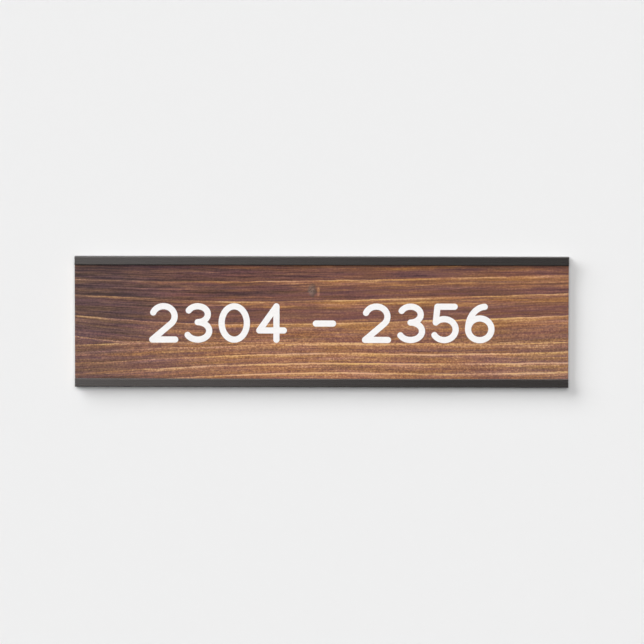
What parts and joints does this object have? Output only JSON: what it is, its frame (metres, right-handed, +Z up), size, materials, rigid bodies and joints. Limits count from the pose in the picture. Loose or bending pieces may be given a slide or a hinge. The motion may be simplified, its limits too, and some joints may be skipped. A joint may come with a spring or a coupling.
{
  "type": "wall name plate",
  "caption": "Black extruded wall holder with open ends, and a wooden name plate that slides along it behind a lip at the top and a lip at the bottom.",
  "frame": {"origin": "centre of the holder's back, on the plane of the wall", "axes": "+X along the sign, to the right for a reader; +Z up; +Y into the wall, so that the face looks along -Y"},
  "size_m": [0.254, 0.006, 0.0672],
  "materials": {
    "black_anodised": "black anodised, satin, with fine drawing lines along its length",
    "stained_pine": "brown stain on flat-sawn softwood, satin",
    "bare_core_ply": "bare, cross-grained",
    "bare_back_ply": "bare, sanded",
    "foam_tape": "closed-cell foam with a tacky face",
    "white_ink": "matt white ink"
  },
  "bodies": {
    "holder": {"holder_channel": "black_anodised", "upper_foam_tape": "foam_tape", "lower_foam_tape": "foam_tape"},
    "insert": {"insert_face_ply": "stained_pine", "insert_core_ply": "bare_core_ply", "insert_back_ply": "bare_back_ply"}
  },
  "joints": [
    {"name": "insert_slide", "type": "slide", "parent": "holder", "child": "insert", "axis": [1, 0, 0], "range_m": [-0.24, 0.24]}
  ]
}
